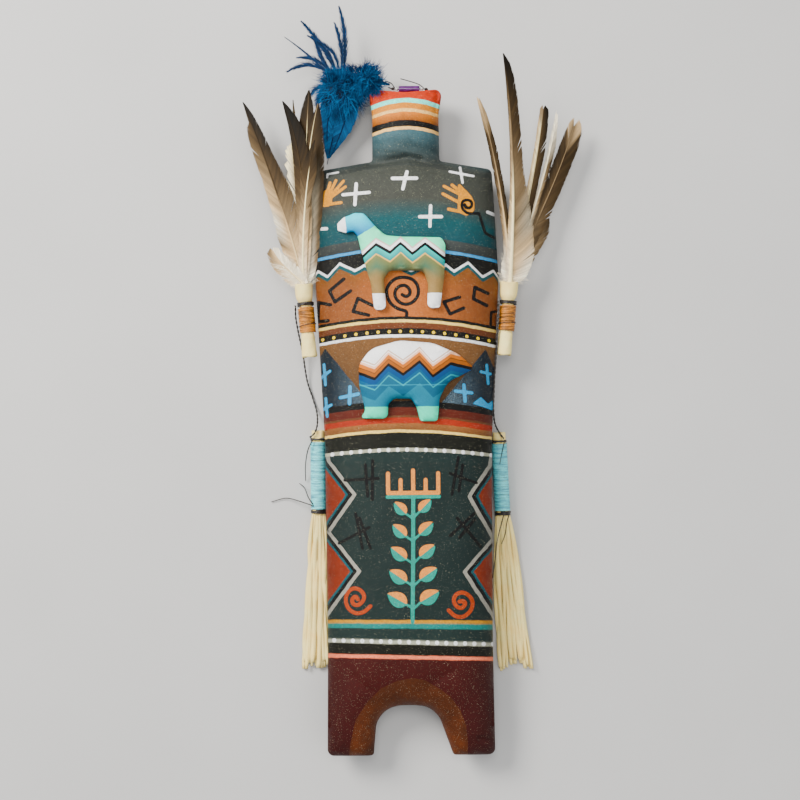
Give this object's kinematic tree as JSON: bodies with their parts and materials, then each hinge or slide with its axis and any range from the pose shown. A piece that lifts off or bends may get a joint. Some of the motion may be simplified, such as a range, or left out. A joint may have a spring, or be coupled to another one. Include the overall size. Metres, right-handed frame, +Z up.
{
  "type": "spirit doll",
  "caption": "Stuffed painted canvas figure lying on its back, with a cloth horse and bear, feather bundles and leather tassels.",
  "frame": {"origin": "centre of the bounding box's underside, on the surface the doll lies on", "axes": "+Y towards the head, +Z up out of the painted front, +X towards the viewer's right when the front is seen with the head up"},
  "size_m": [0.2296, 0.5134, 0.0539],
  "materials": {
    "painted_canvas": "acrylic paint in bands on plain-weave canvas, matt to satin",
    "turquoise_canvas": "acrylic paint on smooth cotton canvas, satin",
    "leather": "undyed soft buckskin, matt",
    "feather": "natural wing feathers, brown vanes, white bases and cream shafts",
    "blue_feather": "dyed marabou and hackle feathers",
    "brown_thread": "waxed thread, satin",
    "blue_thread": "cotton thread, matt",
    "black_thread": "waxed sinew thread, satin",
    "clear_glass": "clear seed beads",
    "purple_stone": "polished purple tube bead"
  },
  "bodies": {
    "root": {"body": "painted_canvas", "horse": "turquoise_canvas", "bear": "turquoise_canvas", "sleeve_left": "leather", "sleeve_right": "leather", "sleeve_wrap_left": "brown_thread", "sleeve_wrap_right": "brown_thread", "sleeve_tie_left": "black_thread", "sleeve_tie_right": "black_thread", "feather_left_1": "feather", "feather_left_2": "feather", "feather_left_3": "feather", "feather_left_4": "feather", "feather_left_5": "feather", "feather_left_6": "feather", "feather_left_7": "feather", "feather_right_1": "feather", "feather_right_2": "feather", "feather_right_3": "feather", "feather_right_4": "feather", "feather_right_5": "feather", "feather_right_6": "feather", "tassel_left": "leather", "tassel_right": "leather", "tassel_wrap_left": "blue_thread", "tassel_wrap_right": "blue_thread", "tassel_tie_upper_left": "black_thread", "tassel_tie_upper_right": "black_thread", "tassel_tie_lower_left": "black_thread", "tassel_tie_lower_right": "black_thread", "thread_left": "black_thread", "thread_right": "black_thread", "blue_feather_tuft": "blue_feather", "bead_thread": "black_thread", "tube_bead": "purple_stone", "seed_bead_left": "clear_glass", "seed_bead_right": "clear_glass"}
  },
  "joints": []
}
